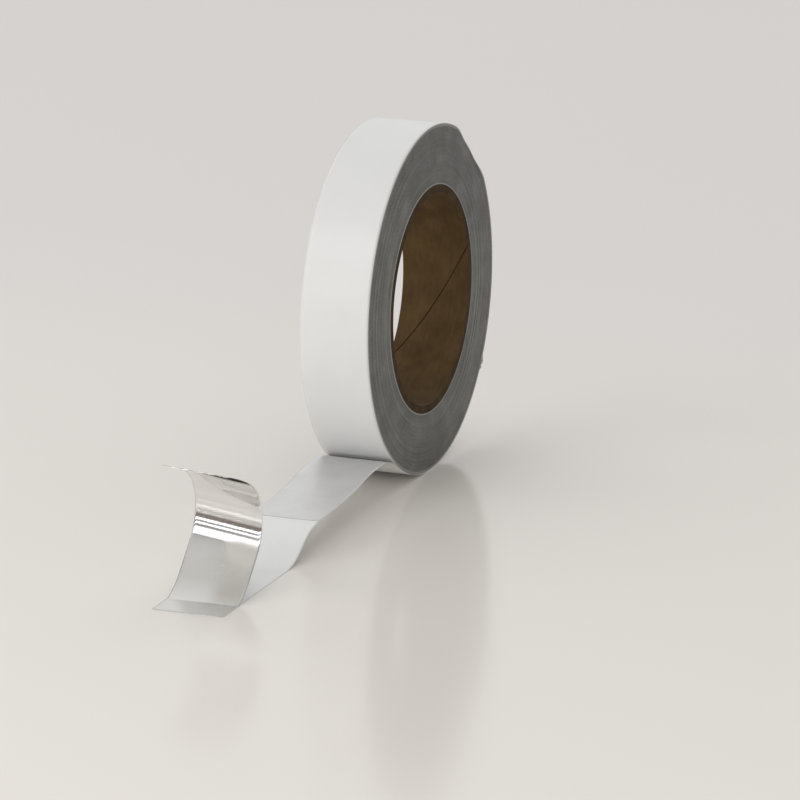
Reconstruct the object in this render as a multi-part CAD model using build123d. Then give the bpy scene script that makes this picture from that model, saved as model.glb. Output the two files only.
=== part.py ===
"""A roll of aluminium foil tape on its paper core, standing on its rim with a loose end.

The laminate is foil + adhesive + paper release liner, wound with the liner outside.
Frame: the roll's axis is +Y through the origin, +Z is up, and the loose end runs towards -X.
"""
from build123d import *
import math
import os

# ---- Driving dimensions (mm) ----
TAPE_WIDTH = 25.4        # 1 in tape
CORE_BORE_D = 76.2       # 3 in core
ROLL_OD = 125.6          # over the outermost turn

FOIL_T = 0.050           # 2 mil foil
ADHESIVE_T = 0.035
LINER_T = 0.069
LAMINATE_T = FOIL_T + ADHESIVE_T + LINER_T

PLY_COUNT = 5            # kraft plies in the core's wall
PLY_T = 0.58
STARTER_T = 0.40         # bare liner wound on the core before the laminate starts

SEAM_WIDTH = 0.35        # open butt joint of the innermost ply
SEAM_PITCH = 133.0       # its helix advances this far along the core in a full turn
SEAM_MIDDLE = -17.0      # where it crosses mid-width, degrees from +X towards +Z

# ---- The loose end, walked from the roll towards the cut edge ----
LEAVE_ANGLE = 33.3       # where the tape leaves the roll, degrees round from the bottom
TAIL_CLEARANCE = 0.06    # between the loose end's root and the roll it turns about
# Each step is (length in mm, turn in degrees). A positive turn bends towards the foil side.
TAIL_STEPS = [(14.0, -33.3), (20.0, -9.5), (24.0, 8.0), (16.5, 0.0)]
SAG_TURN = 33.0          # past the foil's cut the bare liner bends down, then out flat
FLAP_LENGTH = 13.0       # laminate still stuck together at the tape's outer end
# The foil peeled off the liner, from its cut edge down to the peel line.
CURL_START_HEADING = -164.0
CURL_STEPS = [(18.0, 6.0), (10.0, 24.0), (8.0, 34.0), (6.5, 20.0), (7.5, 33.0), (13.0, 4.0),
              (12.0, 25.0)]
JOINT_GAP = 0.15         # left between pieces that swing about a fold line

# ---- Derived dimensions ----
BORE_R = CORE_BORE_D / 2
CORE_R = BORE_R + PLY_COUNT * PLY_T
STARTER_R = CORE_R + STARTER_T
ROLL_R = ROLL_OD / 2
TURN_START_R = ROLL_R - LAMINATE_T   # the last turn starts one laminate deeper than it ends
FLOOR_Z = -ROLL_R
PEELED_LENGTH = sum(length for length, _ in CURL_STEPS)   # foil and bare liner alike


class Strip:
    """A strip's path in side view: straight and circular steps with a side offset.

    Side-view points are (u, z), u running away from the roll (-X) and z up.
    The path itself is the liner's outer face; offsets are measured towards the foil.
    """

    def __init__(self, u, z, heading):
        self.points = [(u, z)]
        self.headings = [math.radians(heading)]
        self.middles = []

    def step(self, length, turn):
        u, z = self.points[-1]
        start = self.headings[-1]
        end = start + math.radians(turn)
        self.middles.append(self._advance(u, z, start, (start + end) / 2, length / 2))
        self.points.append(self._advance(u, z, start, end, length))
        self.headings.append(end)
        return self

    def walk(self, steps):
        for length, turn in steps:
            self.step(length, turn)
        return self

    @staticmethod
    def _advance(u, z, start, end, length):
        if abs(end - start) < 1e-9:
            return (u + length * math.cos(start), z + length * math.sin(start))
        radius = length / (end - start)
        du = radius * (math.sin(end) - math.sin(start))
        dz = radius * (math.cos(start) - math.cos(end))
        return (u + du, z + dz)

    @staticmethod
    def _aside(point, heading, offset):
        u = point[0] - offset * math.sin(heading)
        z = point[1] + offset * math.cos(heading)
        return Vector(-u, 0, z)

    def edges(self, offset):
        """The path's edges, moved sideways by the offset."""
        made = []
        for i, middle in enumerate(self.middles):
            h0, h1 = self.headings[i], self.headings[i + 1]
            a = self._aside(self.points[i], h0, offset)
            b = self._aside(self.points[i + 1], h1, offset)
            if abs(h1 - h0) < 1e-9:
                made.append(Edge.make_line(a, b))
            else:
                m = self._aside(middle, (h0 + h1) / 2, offset)
                made.append(Edge.make_three_point_arc(a, m, b))
        return made

    def end_point(self, index, offset):
        return self._aside(self.points[index], self.headings[index], offset)

    def layer(self, inner, outer):
        """A solid layer of the strip between two offsets, as wide as the tape."""
        near = self.edges(inner)
        far = self.edges(outer)
        first = Edge.make_line(self.end_point(0, inner), self.end_point(0, outer))
        last = Edge.make_line(self.end_point(-1, inner), self.end_point(-1, outer))
        face = Face(Wire(near + [last] + far + [first]))
        return across(face)


def across(face):
    """A side-view face made as wide as the tape, centred on y = 0."""
    return Solid.extrude(face.moved(Location((0, -TAPE_WIDTH / 2, 0))), Vector(0, TAPE_WIDTH, 0))


def layered(strip):
    """The strip's three layers: liner outside, adhesive between, foil inside."""
    liner = strip.layer(0, LINER_T)
    adhesive = strip.layer(LINER_T, LINER_T + ADHESIVE_T)
    foil = strip.layer(LINER_T + ADHESIVE_T, LAMINATE_T)
    return liner, adhesive, foil


def circle_wire(radius):
    plane = Plane(origin=(0, 0, 0), x_dir=(1, 0, 0), z_dir=(0, 1, 0))
    return Wire.make_circle(radius, plane)


def tube(inner_r, outer_r):
    ring = Face(circle_wire(outer_r), [circle_wire(inner_r)])
    return across(ring)


def roll_point(radius, angle):
    """A side-view point on the roll, an angle round from its bottom."""
    a = math.radians(angle)
    return radius * math.sin(a), -radius * math.cos(a)


# ---- Core ----

def inner_ply():
    """The innermost ply, open along its spiral butt joint."""
    ply = tube(BORE_R, BORE_R + PLY_T)
    overrun = 4.0
    height = TAPE_WIDTH + 2 * overrun
    turns = height / SEAM_PITCH
    middle_r = BORE_R + PLY_T / 2
    spiral = Edge.make_helix(SEAM_PITCH, height, middle_r)
    section_plane = Plane(spiral @ 0, x_dir=(1, 0, 0), z_dir=spiral % 0)
    section = section_plane * Rectangle(2 * PLY_T, SEAM_WIDTH)
    slit = sweep(section, path=Wire([spiral]), is_frenet=True)
    slit = slit.rotate(Axis.Z, -180 * turns)
    slit = slit.rotate(Axis.X, -90).translate((0, -height / 2, 0))
    slit = slit.rotate(Axis.Y, -SEAM_MIDDLE)
    return ply - slit


def body_ply(index):
    inner_r = BORE_R + index * PLY_T
    return tube(inner_r, inner_r + PLY_T)


def starter_wrap():
    return tube(CORE_R, STARTER_R)


# ---- Wound tape ----

def last_turn():
    """The outermost turn: two half circles whose end stands one laminate off its start."""
    u, z = roll_point(TURN_START_R, LEAVE_ANGLE)
    turn = Strip(u, z, LEAVE_ANGLE)
    turn.step(math.pi * TURN_START_R, 180)
    turn.step(math.pi * (TURN_START_R + LAMINATE_T / 2), 180)
    return turn


def tape_pack(turn):
    """All the turns under the outermost one, with the small step where the next begins."""
    outline = turn.edges(LAMINATE_T)
    step = Edge.make_line(turn.end_point(-1, LAMINATE_T), turn.end_point(0, LAMINATE_T))
    face = Face(Wire(outline + [step]), [circle_wire(STARTER_R)])
    return across(face)


# ---- Loose end ----

def tail_strip():
    u, z = roll_point(ROLL_R + LAMINATE_T + TAIL_CLEARANCE, LEAVE_ANGLE)
    return Strip(u, z, LEAVE_ANGLE).walk(TAIL_STEPS)


def end_strip(tail):
    """The bare liner from the foil's cut to the peel line, where it lies flat."""
    gap = Strip(*tail.points[-1], math.degrees(tail.headings[-1])).step(JOINT_GAP, 0)
    u, z = gap.points[-1]
    heading = math.degrees(gap.headings[-1])
    bends = [(1, -SAG_TURN), (1, SAG_TURN - heading)]
    drop_per_mm = -Strip(0, 0, heading).walk(bends).points[-1][1]
    bend_length = (z - FLOOR_Z) / drop_per_mm
    end = Strip(u, z, heading).walk((bend_length, turn) for _, turn in bends)
    return end.step(PEELED_LENGTH - 2 * bend_length, 0)


def flap_strip(end):
    return Strip(*end.points[-1], 0).step(FLAP_LENGTH, 0)


def curl_strip(flap):
    """The peeled foil, walked from its cut edge so that it ends at the peel line."""
    trial = Strip(0, 0, CURL_START_HEADING).walk(CURL_STEPS)
    u, z = flap.points[0]
    du, dz = trial.points[-1]
    return Strip(u - JOINT_GAP - du, z + JOINT_GAP - dz, CURL_START_HEADING).walk(CURL_STEPS)


def build():
    turn = last_turn()
    tail = tail_strip()
    end = end_strip(tail)
    flap = flap_strip(end)
    curl = curl_strip(flap)
    whole_end = end_strip(tail).step(FLAP_LENGTH, 0)

    parts = {"core_inner_ply": inner_ply()}
    for index in range(1, PLY_COUNT - 1):
        parts[f"core_body_ply_{index}"] = body_ply(index)
    parts["core_outer_ply"] = body_ply(PLY_COUNT - 1)
    parts["starter_wrap"] = starter_wrap()
    parts["tape_pack"] = tape_pack(turn)
    for name, strip in (("outer_turn", turn), ("tail", tail)):
        liner, adhesive, foil = layered(strip)
        parts[f"{name}_liner"] = liner
        parts[f"{name}_adhesive"] = adhesive
        parts[f"{name}_foil"] = foil
    parts["end_liner"] = whole_end.layer(0, LINER_T)
    _, parts["flap_adhesive"], parts["flap_foil"] = layered(flap)
    _, parts["curl_adhesive"], parts["curl_foil"] = layered(curl)
    return parts, {"tail": tail, "end": end, "flap": flap, "curl": curl}


def main():
    os.makedirs("parts", exist_ok=True)
    parts, strips = build()
    for node, shape in parts.items():
        export_step(shape, f"parts/{node}.step")
        print(f"{node:18s} {shape.volume:10.2f} mm3")
    for name, strip in strips.items():
        u, z = strip.points[-1]
        print(f"{name} ends at x {-u:.2f}, z {z:.2f}, heading {math.degrees(strip.headings[-1]):.1f}")
    print(f"floor z {FLOOR_Z:.3f}")


main()
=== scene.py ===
"""Looks for the roll of aluminium foil tape: pieces, materials, studio and camera.

Row frame: the roll's axis is +Y through the origin, +Z is up, the loose end runs towards -X.
Shapes are worked out in millimetres and turned into metres when a mesh is made.
"""
import math

import bpy
import numpy as np
from mathutils import Matrix, Vector, noise


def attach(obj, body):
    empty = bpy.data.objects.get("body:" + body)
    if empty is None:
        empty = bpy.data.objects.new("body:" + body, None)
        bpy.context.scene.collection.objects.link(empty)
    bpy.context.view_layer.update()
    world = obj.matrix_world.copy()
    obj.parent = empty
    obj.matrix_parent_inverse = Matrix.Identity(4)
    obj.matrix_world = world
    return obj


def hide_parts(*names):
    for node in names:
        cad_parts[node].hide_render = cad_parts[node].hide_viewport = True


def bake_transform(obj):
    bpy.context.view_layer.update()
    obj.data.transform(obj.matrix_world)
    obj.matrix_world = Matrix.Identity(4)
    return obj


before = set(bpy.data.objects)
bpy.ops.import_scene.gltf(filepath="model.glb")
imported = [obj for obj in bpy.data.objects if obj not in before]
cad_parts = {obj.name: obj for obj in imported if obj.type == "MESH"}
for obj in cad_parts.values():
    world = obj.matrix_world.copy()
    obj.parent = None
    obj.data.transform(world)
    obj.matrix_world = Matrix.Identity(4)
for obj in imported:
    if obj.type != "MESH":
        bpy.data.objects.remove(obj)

MM = 0.001

# ---- The CAD's dimensions (mm) that the visible pieces follow ----
WIDTH = 25.4
STARTER_R = 41.4
ROLL_R = 62.8
FOIL_T, ADHESIVE_T, LINER_T = 0.050, 0.035, 0.069
LAMINATE_T = FOIL_T + ADHESIVE_T + LINER_T
LEAVE_ANGLE = 33.3
TAIL_CLEARANCE = 0.06
TAIL_STEPS = [(14.0, -33.3), (20.0, -9.5), (24.0, 8.0), (16.5, 0.0)]
SAG_TURN = 33.0
FLAP_LENGTH = 13.0
CURL_START_HEADING = -164.0
CURL_STEPS = [(18.0, 6.0), (10.0, 24.0), (8.0, 34.0), (6.5, 20.0), (7.5, 33.0), (13.0, 4.0),
              (12.0, 25.0)]
JOINT_GAP = 0.15
FLOOR_Z = -ROLL_R

# ---- Looks only (mm) ----
LAYER_GAP = 0.004        # keeps faces of touching layers from lying on each other
DENT_ANGLE = 49.0        # the crushed rim, degrees from +X towards +Z, on the -Y side
DENT_HALF_ANGLE = 18.0
DENT_DEPTH = 1.25
DENT_REACH = 11.0        # how deep into the roll the dent is felt
DENT_SPREAD = 9.0        # how far across the width it fades out
DENT_TUCK = 0.9          # how far the crushed edges are pushed in across the width
SEED = 11

OUTER_TURNS_R = 61.6     # from here out the turns' slit edges are clean and brighter
BURR_ANGLE = -35.0       # slit edge picked up into small burrs, degrees from +X
BURR_HALF_ANGLE = 3.0
BURR_LIFT = 2.2          # how far a burr's tag can stand up off the rim
BURR_OUT = 1.2           # and out from the side face
SKEW = 0.146             # the peeled foil's bend runs a little askew: mm along it per mm across
SKEW_FADE = 5.0          # half the length over which the skew dies out
EDGE_DRIFT = 0.010       # spread of the wound edges' slow drift from turn to turn
EDGE_JITTER = 0.012      # and of each turn's own step in or out
EDGE_RECESS = 0.08       # how far the wound edges lie inside the tape's width
BUCKLE = 0.05            # the last turn's shallow hollows
PEEL_CREASE = 0.6        # length of the foil's sharp bend at the peel line
SKEW_LAST_BEND = 5       # the skew holds up to this bend of the curl,
SKEW_PAST = 6.0          # and this far along the straighter stretch after it

# ---- The studio: brightness from the horizon (0) up to the zenith (1) ----
BEHIND_BANDS = ((0.00, (0.84, 0.83, 0.83)), (0.35, (0.93, 0.925, 0.925)),
                (0.62, (1.03, 1.03, 1.03)), (1.00, (0.98, 0.98, 0.98)))
FRONT_BANDS = ((0.00, (0.20, 0.165, 0.135)), (0.15, (0.22, 0.19, 0.165)),
               (0.19, (0.30, 0.295, 0.29)), (0.80, (0.30, 0.295, 0.29)),
               (0.845, (0.26, 0.255, 0.25)), (0.875, (0.66, 0.64, 0.61)),
               (0.95, (0.74, 0.725, 0.69)), (1.00, (0.86, 0.85, 0.82)))
ROOM_SIDE = (0.40, 0.40, 0.39)         # on the -Y side


# ------------------------------------------------------------------ small maths

def smoothstep(low, high, value):
    t = np.clip((np.asarray(value, float) - low) / (high - low), 0, 1)
    return t * t * (3 - 2 * t)


def wave(values, seed, scale, detail=3):
    """Smooth noise along one coordinate, about -1 to 1."""
    return np.array([noise.fractal(Vector((v / scale, seed * 7.3, 0.0)), 1.0, 2.0, detail)
                     for v in np.ravel(values)]).reshape(np.shape(values))


def ripple(s, y, seed, s_scale, y_scale):
    """Smooth noise over a strip, about -1 to 1."""
    flat = [noise.noise(Vector((a / s_scale, b / y_scale, seed * 5.1)))
            for a, b in zip(np.ravel(s), np.ravel(y))]
    return np.array(flat).reshape(np.shape(s))


class Path:
    """A strip's side view (u away from the roll, z up), walked in lines and arcs."""

    def __init__(self, u, z, heading):
        self.knots = [(0.0, u, z, math.radians(heading))]
        self.turns = []

    def step(self, length, turn):
        s, u, z, h = self.knots[-1]
        self.turns.append(math.radians(turn) / length)
        u1, z1, h1 = self._along(u, z, h, self.turns[-1], length)
        self.knots.append((s + length, u1, z1, h1))
        return self

    def walk(self, steps):
        for length, turn in steps:
            self.step(length, turn)
        return self

    @staticmethod
    def _along(u, z, h, curvature, length):
        if abs(curvature) < 1e-9:
            return u + length * math.cos(h), z + length * math.sin(h), h
        h1 = h + curvature * length
        du = (math.sin(h1) - math.sin(h)) / curvature
        dz = (math.cos(h) - math.cos(h1)) / curvature
        return u + du, z + dz, h1

    @property
    def length(self):
        return self.knots[-1][0]

    def at(self, s):
        """(u, z, heading) at a distance along the path, past its ends too."""
        i = 0
        while i < len(self.turns) - 1 and s > self.knots[i + 1][0]:
            i += 1
        s0, u, z, h = self.knots[i]
        return self._along(u, z, h, self.turns[i], s - s0)


# ------------------------------------------------------------------ meshes

def make_object(name, points_mm, faces, smooth, material):
    mesh = bpy.data.meshes.new(name)
    mesh.from_pydata((np.asarray(points_mm) * MM).tolist(), [], faces)
    mesh.polygons.foreach_set("use_smooth", smooth)
    mesh.materials.append(material)
    mesh.update()
    obj = bpy.data.objects.new(name, mesh)
    bpy.context.scene.collection.objects.link(obj)
    return obj


def add_uv(obj, uv_points):
    """One UV pair per vertex, in mm, for grain that follows the strip."""
    layer = obj.data.uv_layers.new(name="strip")
    index = np.empty(len(obj.data.loops), int)
    obj.data.loops.foreach_get("vertex_index", index)
    layer.data.foreach_set("uv", np.asarray(uv_points, float)[index].ravel())


def grid_faces(rows, cols, first=0, flip=False):
    made = []
    for i in range(rows - 1):
        for j in range(cols - 1):
            a = first + i * cols + j
            b = a + cols
            quad = (a, b, b + 1, a + 1)
            made.append(quad[::-1] if flip else quad)
    return made


def slab(name, place, s_values, y_values, inner, outer, material):
    """A thin closed solid. place(s, y, offset) gives points for arrays of s and y."""
    s, y = np.meshgrid(s_values, y_values, indexing="ij")
    rows, cols = s.shape
    lower = place(s, y, inner).reshape(-1, 3)
    upper = place(s, y, outer).reshape(-1, 3)
    count = rows * cols
    faces = grid_faces(rows, cols) + grid_faces(rows, cols, count, flip=True)
    smooth = [True] * len(faces)
    ring = ([(0, j) for j in range(cols)] + [(i, cols - 1) for i in range(1, rows)]
            + [(rows - 1, j) for j in range(cols - 2, -1, -1)]
            + [(i, 0) for i in range(rows - 2, 0, -1)])
    flat = [i * cols + j for i, j in ring]
    for a, b in zip(flat, flat[1:] + flat[:1]):
        faces.append((a, b, b + count, a + count))
        smooth.append(False)
    obj = make_object(name, np.vstack([lower, upper]), faces, smooth, material)
    uv = np.column_stack([s.ravel(), y.ravel()])
    add_uv(obj, np.vstack([uv, uv]))
    return obj


def dent(r, angle, y):
    """The rim crushed in on the -Y side: radius and y after the dent."""
    around = 1 - smoothstep(0.25, 1, np.abs(angle - DENT_ANGLE) / DENT_HALF_ANGLE)
    across = 1 - smoothstep(-WIDTH / 2, -WIDTH / 2 + DENT_SPREAD, y)
    near_rim = smoothstep(ROLL_R - DENT_REACH, ROLL_R, r)
    push = around * across * near_rim
    return r - DENT_DEPTH * push, y + DENT_TUCK * push * near_rim


def burr(angle, y):
    """Small picked-up tags on the -Y slit edge: how far they stand up and out."""
    near = 1 - smoothstep(0.5, 1, np.abs(angle - BURR_ANGLE) / BURR_HALF_ANGLE)
    edge = 1 - smoothstep(-WIDTH / 2, -WIDTH / 2 + 1.4, y)
    tags = np.abs(wave(angle, 17, 0.7)) * near * edge
    return BURR_LIFT * tags, BURR_OUT * tags


def on_roll(r, angle, y):
    """Row-frame points from radius, angle (degrees from +X towards +Z) and y."""
    r, y = dent(r, angle, y)
    a = np.radians(angle)
    return np.stack([r * np.cos(a), y, r * np.sin(a)], axis=-1)


# ------------------------------------------------------------------ shader helper

class Shader:
    """Builds one node tree in short statements."""

    def __init__(self, name):
        self.material = bpy.data.materials.new(name)
        self.material.use_nodes = True
        self.tree = self.material.node_tree
        self.tree.nodes.clear()

    @classmethod
    def over(cls, tree):
        """The same short statements over a node tree that isn't a material's."""
        made = cls.__new__(cls)
        made.tree = tree
        tree.nodes.clear()
        return made

    def node(self, kind, inputs=None, **settings):
        made = self.tree.nodes.new("ShaderNode" + kind)
        for key, value in settings.items():
            setattr(made, key, value)
        for key, value in (inputs or {}).items():
            socket = made.inputs[key]
            if isinstance(value, bpy.types.NodeSocket):
                self.tree.links.new(value, socket)
            else:
                socket.default_value = value
        return made

    def noise(self, vector, scale, detail=4.0, roughness=0.5):
        return self.node("TexNoise", {"Vector": vector, "Scale": scale, "Detail": detail,
                                      "Roughness": roughness}).outputs["Fac"]

    def stretch(self, vector, scale):
        return self.node("Mapping", {"Vector": vector, "Scale": scale}).outputs["Vector"]

    def span(self, value, low, high, to_low, to_high):
        return self.node("MapRange", {"Value": value, "From Min": low, "From Max": high,
                                      "To Min": to_low, "To Max": to_high}).outputs["Result"]

    def ramp(self, value, *stops):
        made = self.node("ValToRGB", {"Fac": value})
        ramp = made.color_ramp
        while len(ramp.elements) < len(stops):
            ramp.elements.new(0.5)
        for element, (position, colour) in zip(ramp.elements, stops):
            element.position = position
            element.color = (*colour, 1)
        return made.outputs["Color"]

    def mix(self, factor, a, b):
        made = self.node("Mix", data_type="RGBA")
        for key, value in ((0, factor), (6, a), (7, b)):
            if isinstance(value, bpy.types.NodeSocket):
                self.tree.links.new(value, made.inputs[key])
            else:
                made.inputs[key].default_value = value if key == 0 else (*value, 1)
        return made.outputs[2]

    def maths(self, operation, *values):
        made = self.node("Math", operation=operation)
        for socket, value in zip(made.inputs, values):
            if isinstance(value, bpy.types.NodeSocket):
                self.tree.links.new(value, socket)
            else:
                socket.default_value = value
        return made.outputs[0]

    def blend_of(self, *weighted):
        """The sum of (value, weight) pairs."""
        total = 0.0
        for value, weight in weighted:
            total = self.maths("ADD", self.maths("MULTIPLY", value, weight), total)
        return total

    def bump(self, height, strength, distance_mm, normal=None):
        inputs = {"Height": height, "Strength": strength, "Distance": distance_mm * MM}
        if normal is not None:
            inputs["Normal"] = normal
        return self.node("Bump", inputs).outputs["Normal"]

    def finish(self, inputs):
        bsdf = self.node("BsdfPrincipled", inputs)
        output = self.node("OutputMaterial")
        self.tree.links.new(bsdf.outputs[0], output.inputs["Surface"])
        return self.material


# ------------------------------------------------------------------ materials

def kraft_board(name, dark, light, fibre_scale):
    """Brown paper board: fibres, mottle and a few dark specks."""
    sh = Shader(name)
    place = sh.node("TexCoord").outputs["Object"]
    fibre = sh.noise(sh.stretch(place, fibre_scale), 1.0, 6.0, 0.65)
    mottle = sh.noise(place, 90.0, 3.0)
    speck = sh.ramp(sh.noise(place, 1500.0, 1.0), (0.68, (0, 0, 0)), (0.74, (1, 1, 1)))
    tone = sh.blend_of((fibre, 0.4), (mottle, 0.6))
    board = sh.ramp(tone, (0.28, dark), (0.72, light))
    colour = sh.mix(sh.maths("MULTIPLY", speck, 0.35), board, (0.03, 0.02, 0.012))
    return sh.finish({"Base Color": colour, "Roughness": 0.82, "Specular IOR Level": 0.25,
                      "Normal": sh.bump(fibre, 0.5, 0.12)})


def ply_edges():
    """The core's cut end: paper plies seen edge on."""
    sh = Shader("kraft_cut_edge")
    place = sh.node("TexCoord").outputs["Object"]
    grit = sh.noise(place, 2600.0, 4.0, 0.7)
    soft = sh.noise(place, 160.0, 2.0)
    tone = sh.blend_of((grit, 0.55), (soft, 0.45))
    colour = sh.ramp(tone, (0.35, (0.038, 0.022, 0.009)), (0.66, (0.092, 0.058, 0.028)))
    return sh.finish({"Base Color": colour, "Roughness": 0.9, "Specular IOR Level": 0.2,
                      "Normal": sh.bump(grit, 0.7, 0.15)})


def liner_paper():
    """White silicone-coated release paper with a satin face."""
    sh = Shader("release_liner")
    place = sh.node("TexCoord").outputs["Object"]
    fibre = sh.noise(place, 900.0, 5.0, 0.6)
    cloud = sh.noise(place, 35.0, 3.0)
    colour = sh.ramp(cloud, (0.3, (0.785, 0.79, 0.785)), (0.7, (0.815, 0.818, 0.815)))
    waver = sh.noise(place, 60.0, 2.0)
    soft = sh.bump(waver, 0.35, 0.25)
    return sh.finish({"Base Color": colour, "Roughness": sh.span(fibre, 0.3, 0.7, 0.34, 0.44),
                      "Specular IOR Level": 0.5, "Coat Weight": 0.5, "Coat Roughness": 0.24,
                      "Normal": sh.bump(fibre, 0.25, 0.02, soft)})


def paper_edge():
    """The starter wrap's turns seen edge on."""
    sh = Shader("liner_edge")
    place = sh.node("TexCoord").outputs["Object"]
    grit = sh.noise(place, 2200.0, 3.0)
    colour = sh.ramp(grit, (0.35, (0.26, 0.26, 0.25)), (0.65, (0.48, 0.48, 0.47)))
    return sh.finish({"Base Color": colour, "Roughness": 0.8})


def wound_edges():
    """Slit edges of the turns: metal with fine rings, a little different from turn to turn."""
    sh = Shader("wound_edges")
    place = sh.node("TexCoord").outputs["Object"]
    split = sh.node("SeparateXYZ", {"Vector": place}).outputs
    radius = sh.maths("SQRT", sh.maths("ADD", sh.maths("MULTIPLY", split["X"], split["X"]),
                                       sh.maths("MULTIPLY", split["Z"], split["Z"])))
    rings = sh.node("CombineXYZ", {"X": radius}).outputs["Vector"]
    fine = sh.noise(rings, 5200.0, 2.0, 0.7)
    bands = sh.noise(rings, 700.0, 4.0, 0.6)
    smear = sh.noise(place, 110.0, 4.0, 0.6)
    grain = sh.noise(place, 1500.0, 2.0, 0.6)
    tone = sh.blend_of((fine, 0.28), (bands, 0.17), (smear, 0.27), (grain, 0.28))
    colour = sh.ramp(tone, (0.32, (0.06, 0.062, 0.059)), (0.5, (0.165, 0.168, 0.162)),
                     (0.70, (0.33, 0.335, 0.325)))
    last_turns = sh.span(radius, OUTER_TURNS_R * MM, (OUTER_TURNS_R + 0.3) * MM, 0.0, 1.0)
    colour = sh.mix(last_turns, colour, (0.36, 0.36, 0.355))
    tangent = sh.node("Tangent", direction_type="RADIAL", axis="Y").outputs["Tangent"]
    return sh.finish({"Base Color": colour, "Metallic": 0.85, "Roughness": 0.42,
                      "Anisotropic": 0.55, "Tangent": tangent,
                      "Normal": sh.bump(fine, 0.5, 0.05)})


def foil(name, colour_low, colour_high, roughness, grain, dimple, dulled_and_painted_shade=None):
    """Rolled aluminium foil: fine lines along the strip, faint waviness, small rub marks.

    The last argument is (from, to, added roughness, colour). Past that length the strip is dulled
    and rougher, and its colour turns to painted shade: a darker grey-beige standing in for the
    dim reflections the lower curl and flap show.
    """
    sh = Shader(name)
    strip = sh.node("UVMap", uv_map="strip").outputs["UV"]
    lines = sh.noise(sh.stretch(strip, (0.02, 9.0, 1.0)), 1.0, 4.0, 0.6)
    clouds = sh.noise(sh.stretch(strip, (0.08, 0.12, 1.0)), 1.0, 3.0)
    rubs = sh.noise(sh.stretch(strip, (0.9, 0.35, 1.0)), 1.0, 5.0, 0.7)
    colour = sh.ramp(clouds, (0.35, colour_low), (0.65, colour_high))
    rough = sh.span(rubs, 0.35, 0.7, roughness * 0.85, roughness * 1.2)
    if dulled_and_painted_shade:
        start, end, added, painted_shade_colour = dulled_and_painted_shade
        along = sh.node("SeparateXYZ", {"Vector": strip}).outputs["X"]
        share = sh.span(along, start, end, 0.0, 1.0)
        rough = sh.maths("ADD", rough, sh.maths("MULTIPLY", share, added))
        # Painted shade: past the given length the colour is mixed to a darker grey-beige for the
        # dim reflections there.
        colour = sh.mix(share, colour, painted_shade_colour)
    tangent = sh.node("Tangent", direction_type="UV_MAP", uv_map="strip").outputs["Tangent"]
    soft = sh.bump(clouds, 0.5, dimple)
    return sh.finish({"Base Color": colour, "Metallic": 1.0, "Roughness": rough,
                      "Anisotropic": 0.6, "Tangent": tangent,
                      "Normal": sh.bump(lines, grain, 0.01, soft)})


def adhesive_film():
    sh = Shader("adhesive")
    strip = sh.node("UVMap", uv_map="strip").outputs["UV"]
    strings = sh.noise(sh.stretch(strip, (0.25, 0.7, 1.0)), 1.0, 5.0, 0.7)
    return sh.finish({"Base Color": (0.93, 0.92, 0.88, 1), "Roughness": 0.16, "IOR": 1.47,
                      "Transmission Weight": 1.0, "Normal": sh.bump(strings, 0.4, 0.06)})


def floor_surface():
    """A pale, softly glossy table, a little warmer near the object than far behind it."""
    sh = Shader("studio_floor")
    place = sh.node("TexCoord").outputs["Object"]
    depth = sh.node("SeparateXYZ", {"Vector": place}).outputs["X"]
    far = sh.span(depth, 0.08, 0.30, 0.0, 1.0)
    colour = sh.mix(far, (0.84, 0.805, 0.755), (0.80, 0.765, 0.745))
    return sh.finish({"Base Color": colour, "Roughness": 0.15, "Specular IOR Level": 0.22})


# ------------------------------------------------------------------ the roll

def cad_piece(nodes, round_material, end_material):
    """Tubes that keep their CAD meshes: one material round them, one on their ends."""
    for node in nodes:
        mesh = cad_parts[node].data
        mesh.materials.clear()
        mesh.materials.append(round_material)
        mesh.materials.append(end_material)
        for face in mesh.polygons:
            face.material_index = 1 if abs(face.normal.y) > 0.7 else 0


def wound_pack(material):
    """The wound turns: each one's edge stands a little in or out, along a true spiral."""
    turns = int((ROLL_R - LAMINATE_T - STARTER_R) / LAMINATE_T)
    steps = 360
    rng = np.random.default_rng(SEED)
    drift = np.cumsum(rng.normal(0, EDGE_DRIFT, turns + 2))
    drift -= np.linspace(drift[0], drift[-1], turns + 2)
    jitter = rng.normal(0, EDGE_JITTER, (2, turns + 2))
    angles = np.linspace(0, 360, steps, endpoint=False)
    share = angles / 360
    rows = []
    for side in (-1, 1):
        order = range(turns + 2) if side < 0 else range(turns + 1, -1, -1)
        for turn in order:
            for edge in ((0.12, 0.88) if side < 0 else (0.88, 0.12)):
                r = STARTER_R + LAMINATE_T * (turn - 1 + share + edge)
                r = np.clip(r, STARTER_R, ROLL_R - 2 * LAMINATE_T)
                y = side * (WIDTH / 2 - EDGE_RECESS) + drift[turn] + jitter[(side + 1) // 2][turn]
                rows.append(on_roll(r, angles, np.full(steps, y)))
    points = np.array(rows)                                  # profile x around x 3
    count = len(rows)
    faces = []
    for i in range(count):
        k = (i + 1) % count
        for j in range(steps):
            m = (j + 1) % steps
            faces.append((i * steps + j, i * steps + m, k * steps + m, k * steps + j))
    obj = make_object("wound_turns", points.reshape(-1, 3), faces, [True] * len(faces), material)
    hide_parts("tape_pack")
    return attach(obj, "roll")


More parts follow.
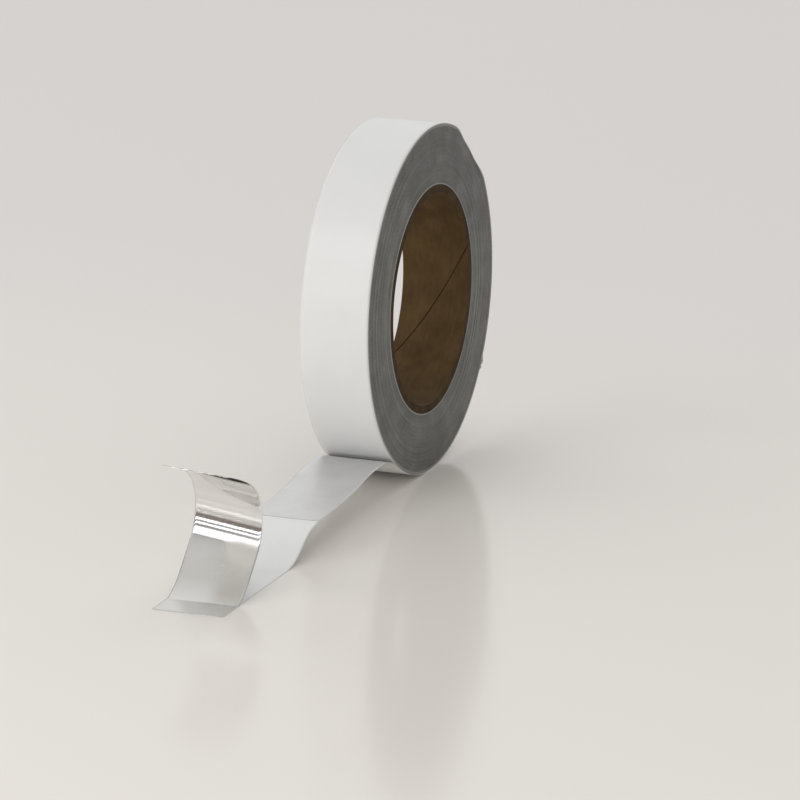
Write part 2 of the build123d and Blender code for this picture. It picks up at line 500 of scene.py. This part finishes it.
def outermost_turn(layers):
    """The last turn's three layers on their spiral, sharing the dent and small nicks."""
    angles = np.linspace(0, 360, 721)
    across = np.linspace(-WIDTH / 2, WIDTH / 2, 25)
    seam = 270 - LEAVE_ANGLE               # the spiral starts and ends where the tail leaves

    def place(s, y, inside):
        direction = seam - s
        direction = (direction + 180) % 360 - 180
        r = ROLL_R - LAMINATE_T + LAMINATE_T * s / 360 - inside
        r = r - BUCKLE * (0.6 - ripple(s * 1.1, y, 3, 26.0, 22.0)) * np.sin(np.radians(s / 2))
        lift, out = burr(direction, y)
        return on_roll(r + lift, direction, y - out)

    made = []
    depth = 0.0
    for node, thickness, material, slot in layers:
        obj = slab(f"last_turn_{node.rsplit('_', 1)[1]}", place, angles, across,
                   depth + thickness - LAYER_GAP, depth, material)
        depth += thickness
        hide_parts(node)
        made.append(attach(obj, "roll"))
    return made


# ------------------------------------------------------------------ the loose end

def loose_paths():
    a = math.radians(LEAVE_ANGLE)
    r = ROLL_R + LAMINATE_T + TAIL_CLEARANCE
    strip = Path(r * math.sin(a), -r * math.cos(a), LEAVE_ANGLE).walk(TAIL_STEPS)
    cut = strip.length
    strip.step(JOINT_GAP, 0)
    heading = math.degrees(strip.knots[-1][3])
    trial = Path(0, 0, heading).walk([(1, -SAG_TURN), (1, SAG_TURN - heading)])
    bend = (strip.knots[-1][2] - FLOOR_Z) / -trial.knots[-1][2]
    strip.walk([(bend, -SAG_TURN), (bend, SAG_TURN - heading)])
    peeled = sum(length for length, _ in CURL_STEPS)
    strip.step(peeled - 2 * bend, 0)
    peel = strip.length
    strip.step(FLAP_LENGTH, 0)
    return strip, cut, peel


def peeled_path(strip, peel):
    """The peeled foil from its cut edge down to the peel line, then along the flap."""
    trial = Path(0, 0, CURL_START_HEADING).walk(CURL_STEPS)
    _, u, z, h = trial.knots[-1]
    target_u, target_z, _ = strip.at(peel)
    start = (target_u - JOINT_GAP - u, target_z + JOINT_GAP - z)
    path = Path(*start, CURL_START_HEADING).walk(CURL_STEPS)
    heading = math.degrees(path.knots[-1][3])
    path.step(PEEL_CREASE, -heading)
    path.step(FLAP_LENGTH - PEEL_CREASE + JOINT_GAP, 0)
    return path


def strip_place(path, wobble, ragged_start=0.0, ragged_end=0.0, skew=0.0, skew_end=0.0):
    """Places strip points: wobble(s, y) lifts them off the path, ends can be ragged.

    With a skew, the bends lie askew to the strip, up to a nearly straight stretch at skew_end.
    """
    total = path.length
    straight = path.at(skew_end)[2]

    def place(s, y, offset):
        s = np.asarray(s, float)
        start = ragged_start * wave(y, 2, 2.2, 4) * (1 - smoothstep(0, 4, s))
        end = ragged_end * wave(y, 5, 2.0, 4) * smoothstep(total - 4, total, s)
        lifted = offset + wobble(s, y)
        shift = skew * y * (1 - smoothstep(skew_end - SKEW_FADE, skew_end + SKEW_FADE, s))
        out = np.empty(s.shape + (3,))
        for index in np.ndindex(s.shape):
            u, z, h = path.at(s[index] + start[index] + end[index] + shift[index])
            u -= shift[index] * math.cos(straight)
            z -= shift[index] * math.sin(straight)
            out[index] = (-(u - lifted[index] * math.sin(h)), y[index],
                          z + lifted[index] * math.cos(h))
        return out

    return place


def loose_end(paper, tail_foil, bare_foil, glue):
    strip, cut, peel = loose_paths()
    curl = peeled_path(strip, peel)
    y_values = np.linspace(-WIDTH / 2, WIDTH / 2, 33)

    def tail_wobble(s, y):
        ends = smoothstep(0, 9, s)
        settle = 1 - smoothstep(cut + 12, cut + 30, s)
        lift = 0.16 * ripple(s, y, 4, 19.0, 15.0) + 0.10 * (np.abs(y) / (WIDTH / 2)) ** 3
        return ends * (settle * lift + (1 - settle) * 0.02)

    def curl_wobble(s, y):
        free = 1 - smoothstep(curl.length - FLAP_LENGTH - 6, curl.length - FLAP_LENGTH, s)
        twist = 0.06 * y * (1 - smoothstep(0, 35, s))
        return free * (0.035 * ripple(s, y, 9, 20.0, 18.0) + twist) + (1 - free) * 0.03

    liner_place = strip_place(strip, tail_wobble, ragged_end=0.25)
    liner = slab("loose_liner", liner_place, np.linspace(0, strip.length, 260), y_values,
                 0, LINER_T, paper)
    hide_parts("tail_liner", "end_liner")
    cut_u, cut_z, _ = strip.at(cut)
    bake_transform(liner)

    tail_place = strip_place(strip, tail_wobble)
    s_tail = np.linspace(0, cut, 150)
    glue_low, glue_high = LINER_T + LAYER_GAP, LINER_T + ADHESIVE_T
    foil_low, foil_high = glue_high + LAYER_GAP, LAMINATE_T
    tail_glue = slab("tail_glue", tail_place, s_tail, y_values, glue_low, glue_high, glue)
    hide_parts("tail_adhesive")
    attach(tail_glue, "tail")
    tail = slab("tail_metal", tail_place, s_tail, y_values, foil_low, foil_high, tail_foil)
    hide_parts("tail_foil")
    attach(tail, "tail")

    curl_place = strip_place(curl, curl_wobble, ragged_start=0.35, ragged_end=0.25,
                             skew=SKEW, skew_end=curl.knots[SKEW_LAST_BEND][0] + SKEW_PAST)
    s_curl = np.linspace(0, curl.length, 300)
    _, peel_z, _ = strip.at(peel)
    peel_x = -strip.at(peel)[0] * MM
    for name, inner, outer, material, slot, nodes in (
            ("curl_glue", glue_low, glue_high, glue, "adhesive",
             ("curl_adhesive", "flap_adhesive")),
            ("curl_metal", foil_low, foil_high, bare_foil, "bare_foil",
             ("curl_foil", "flap_foil"))):
        piece = slab(name, curl_place, s_curl, y_values, inner, outer, material)
        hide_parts(*nodes)
        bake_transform(piece)


# ------------------------------------------------------------------ studio

def studio_floor(material):
    bpy.ops.mesh.primitive_circle_add(vertices=96, radius=12.0, fill_type="NGON",
                                      location=(0, 0, FLOOR_Z * MM))
    floor = bpy.context.object
    floor.name = "studio_floor"
    floor.data.materials.append(material)
    return floor


def area_light(name, location, target, size, power, colour=(1, 1, 1)):
    data = bpy.data.lights.new(name, "AREA")
    data.shape = "RECTANGLE"
    data.size, data.size_y = size
    data.energy = power
    data.color = colour
    light = bpy.data.objects.new(name, data)
    light.location = location
    aim = Vector(target) - Vector(location)
    light.rotation_euler = aim.to_track_quat("-Z", "Y").to_euler()
    light.visible_camera = False
    bpy.context.scene.collection.objects.link(light)
    return light


def surroundings():
    """A pale room: even behind, darker to the -Y side, in level bands in front."""
    world = bpy.data.worlds.new("studio")
    bpy.context.scene.world = world
    world.use_nodes = True
    sh = Shader.over(world.node_tree)
    direction = sh.node("TexCoord").outputs["Generated"]
    split = sh.node("SeparateXYZ", {"Vector": direction}).outputs
    behind = sh.span(split["X"], -0.35, 0.45, 0.0, 1.0)
    room = sh.mix(behind, sh.ramp(split["Z"], *FRONT_BANDS), sh.ramp(split["Z"], *BEHIND_BANDS))
    beside = sh.span(split["Y"], -0.75, -0.10, 0.0, 1.0)
    colour = sh.mix(beside, ROOM_SIDE, room)
    background = sh.node("Background", {"Color": colour, "Strength": 1.0})
    output = sh.node("OutputWorld")
    sh.tree.links.new(background.outputs[0], output.inputs["Surface"])


def strip_light(name, low, high, radiance, reach=1.5, breadth=3.4, toward=(-0.94, 0.34, 0)):
    """A wide soft panel in front, between two elevations (degrees) seen from the object."""
    centre = math.radians((low + high) / 2)
    height = 2 * reach * math.tan(math.radians((high - low) / 2))
    heading = Vector(toward).normalized()
    aim = Vector((-0.12, 0, -0.03))
    place = aim + reach * (heading * math.cos(centre) + Vector((0, 0, math.sin(centre))))
    power = radiance * math.pi * breadth * height
    return area_light(name, place, aim, (breadth, height), power)


def lighting():
    surroundings()
    # Fills the low rim only: a mirror-like foil would show it as a white patch.
    low_fill = strip_light("low_fill", -4.2, -1.9, 30.0, reach=0.42, breadth=0.3,
                           toward=(-0.83, 0.56, 0))
    low_fill.visible_glossy = False
    strip_light("front_thin_low", 11.0, 14.0, 4.0)
    strip_light("front_thin_high", 22.0, 25.0, 3.0)
    strip_light("front_broad", 34.0, 55.0, 1.4)


def photo_camera():
    """The photograph's view: a long lens, 15 degrees down, 21 degrees off the roll's plane."""
    data = bpy.data.cameras.new("camera")
    data.sensor_width = 36.0
    data.lens = 272.7
    data.clip_start, data.clip_end = 0.05, 50.0
    camera = bpy.data.objects.new("camera", data)
    forward = Vector((0.90254, 0.34442, -0.25846))
    right = Vector((0.35715, -0.93404, 0.00245))
    up = right.cross(forward)
    turn = Matrix((right, up, -forward)).transposed()
    camera.matrix_world = Matrix.Translation((-1.9550, -0.7468, 0.5216)) @ turn.to_4x4()
    bpy.context.scene.collection.objects.link(camera)
    bpy.context.scene.camera = camera


def main():
    paper = liner_paper()
    # These board colours are set darker than real kraft: brown board, plus painted shade standing
    # in for the dim inside of the bore.
    kraft = kraft_board("kraft_bore", (0.055, 0.030, 0.010), (0.120, 0.072, 0.027),
                        (200, 700, 200))
    cad_piece(["core_inner_ply", "core_body_ply_1", "core_body_ply_2", "core_body_ply_3",
               "core_outer_ply"], kraft, ply_edges())
    cad_piece(["starter_wrap"], paper, paper_edge())
    tail_foil = foil("tail_foil", (0.66, 0.66, 0.66), (0.70, 0.70, 0.697), 0.46, 0.05, 0.02)
    # From 46 to 58 mm along the curl the bare foil turns rougher and its colour fades to painted
    # shade, a darker grey-beige for the dim reflections of the lower curl and flap.
    bare_foil = foil("bare_foil", (0.86, 0.86, 0.855), (0.90, 0.90, 0.895), 0.09, 0.08, 0.012,
                     dulled_and_painted_shade=(46.0, 58.0, 0.17, (0.66, 0.655, 0.635)))
    glue = adhesive_film()
    wound_pack(wound_edges())
    outermost_turn([("outer_turn_liner", LINER_T, paper, "release_liner"),
                    ("outer_turn_adhesive", ADHESIVE_T, glue, "adhesive"),
                    ("outer_turn_foil", FOIL_T, tail_foil, "foil")])
    loose_end(paper, tail_foil, bare_foil, glue)
    studio_floor(floor_surface())
    lighting()
    photo_camera()
    scene = bpy.context.scene
    scene.view_settings.view_transform = "Standard"


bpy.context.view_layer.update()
main()
